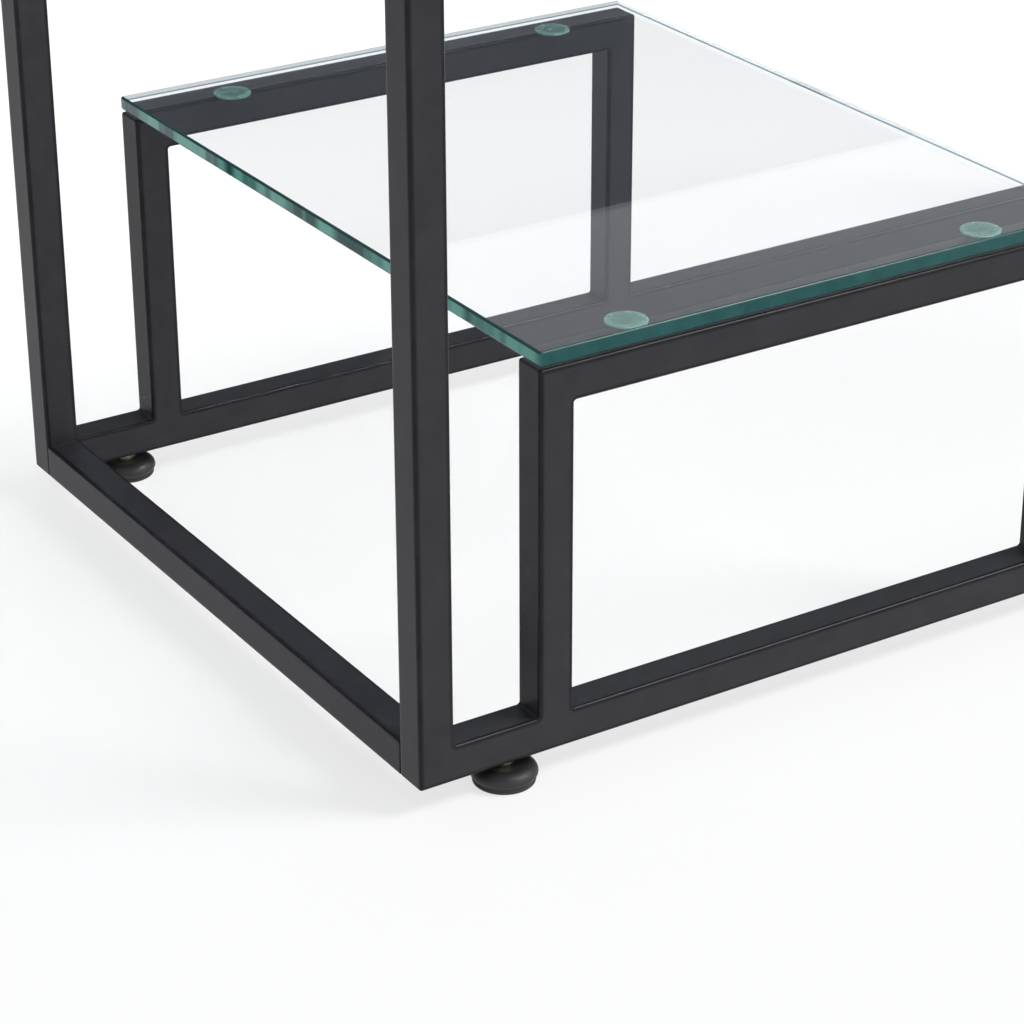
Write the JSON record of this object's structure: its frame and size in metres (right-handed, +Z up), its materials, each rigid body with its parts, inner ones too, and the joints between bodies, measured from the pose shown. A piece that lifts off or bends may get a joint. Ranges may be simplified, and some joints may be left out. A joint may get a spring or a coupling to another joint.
{
  "type": "two-tier glass table",
  "caption": "Two-tier coffee table: square steel tube frame, glass top, and a low glass on a low frame nested inside, on levelling feet.",
  "frame": {"origin": "on the floor, below the middle of the table", "axes": "+Z up; +X along the length, from the low table's end towards the open bay; the front side frame is at -Y"},
  "size_m": [0.9, 0.465, 0.5],
  "materials": {
    "powder_coat": "matte black powder coat",
    "bare_steel": "plain steel",
    "zinc": "yellow zinc plate",
    "glass": "clear tempered glass, polished edges",
    "clear_pad": "clear soft plastic",
    "foot_nylon": "black moulded nylon"
  },
  "bodies": {
    "table": {"front_post_left": "powder_coat", "front_post_right": "powder_coat", "front_runner": "powder_coat", "front_top_rail": "powder_coat", "front_low_post_left": "powder_coat", "front_low_post_right": "powder_coat", "front_low_rail": "powder_coat", "rear_post_left": "powder_coat", "rear_post_right": "powder_coat", "rear_runner": "powder_coat", "rear_top_rail": "powder_coat", "rear_low_post_left": "powder_coat", "rear_low_post_right": "powder_coat", "rear_low_rail": "powder_coat", "cross_rail_bottom_left": "powder_coat", "cross_rail_bottom_right": "powder_coat", "cross_rail_top_left": "powder_coat", "cross_rail_top_right": "powder_coat", "spigot_bottom_left_front": "bare_steel", "spigot_bottom_left_rear": "bare_steel", "spigot_bottom_right_front": "bare_steel", "spigot_bottom_right_rear": "bare_steel", "spigot_top_left_front": "bare_steel", "spigot_top_left_rear": "bare_steel", "spigot_top_right_front": "bare_steel", "spigot_top_right_rear": "bare_steel", "screw_bottom_left_front": "zinc", "screw_bottom_left_rear": "zinc", "screw_bottom_right_front": "zinc", "screw_bottom_right_rear": "zinc", "screw_top_left_front": "zinc", "screw_top_left_rear": "zinc", "screw_top_right_front": "zinc", "screw_top_right_rear": "zinc", "low_glass": "glass", "top_glass": "glass", "low_pad_front_left": "clear_pad", "low_pad_front_right": "clear_pad", "low_pad_rear_left": "clear_pad", "low_pad_rear_right": "clear_pad", "top_pad_front_left": "clear_pad", "top_pad_front_middle": "clear_pad", "top_pad_front_right": "clear_pad", "top_pad_rear_left": "clear_pad", "top_pad_rear_middle": "clear_pad", "top_pad_rear_right": "clear_pad", "foot_nut_front_left": "bare_steel", "foot_nut_front_right": "bare_steel", "foot_nut_rear_left": "bare_steel", "foot_nut_rear_right": "bare_steel"},
    "foot_front_left": {"foot_pad_front_left": "foot_nylon"},
    "stem_front_left": {"foot_stem_front_left": "zinc"},
    "foot_front_right": {"foot_pad_front_right": "foot_nylon"},
    "stem_front_right": {"foot_stem_front_right": "zinc"},
    "foot_rear_left": {"foot_pad_rear_left": "foot_nylon"},
    "stem_rear_left": {"foot_stem_rear_left": "zinc"},
    "foot_rear_right": {"foot_pad_rear_right": "foot_nylon"},
    "stem_rear_right": {"foot_stem_rear_right": "zinc"}
  },
  "joints": [
    {"name": "front_left_height", "type": "slide", "parent": "table", "child": "foot_front_left", "axis": [0, 0, -1], "range_m": [-0.0015, 0.008]},
    {"name": "front_left_screw", "type": "hinge", "parent": "foot_front_left", "child": "stem_front_left", "pos_m": [-0.395, -0.215, 0.02], "axis": [0, 0, -1], "range_deg": [-435, 2310]},
    {"name": "front_right_height", "type": "slide", "parent": "table", "child": "foot_front_right", "axis": [0, 0, -1], "range_m": [-0.0015, 0.008]},
    {"name": "front_right_screw", "type": "hinge", "parent": "foot_front_right", "child": "stem_front_right", "pos_m": [0.395, -0.215, 0.02], "axis": [0, 0, -1], "range_deg": [-435, 2310]},
    {"name": "rear_left_height", "type": "slide", "parent": "table", "child": "foot_rear_left", "axis": [0, 0, -1], "range_m": [-0.0015, 0.008]},
    {"name": "rear_left_screw", "type": "hinge", "parent": "foot_rear_left", "child": "stem_rear_left", "pos_m": [-0.395, 0.215, 0.02], "axis": [0, 0, -1], "range_deg": [-435, 2310]},
    {"name": "rear_right_height", "type": "slide", "parent": "table", "child": "foot_rear_right", "axis": [0, 0, -1], "range_m": [-0.0015, 0.008]},
    {"name": "rear_right_screw", "type": "hinge", "parent": "foot_rear_right", "child": "stem_rear_right", "pos_m": [0.395, 0.215, 0.02], "axis": [0, 0, -1], "range_deg": [-435, 2310]}
  ],
  "couplings": [
    {"joint": "front_left_screw", "follows": "front_left_height", "rad_per_m": 5026.5},
    {"joint": "front_right_screw", "follows": "front_right_height", "rad_per_m": 5026.5},
    {"joint": "rear_left_screw", "follows": "rear_left_height", "rad_per_m": 5026.5},
    {"joint": "rear_right_screw", "follows": "rear_right_height", "rad_per_m": 5026.5}
  ]
}
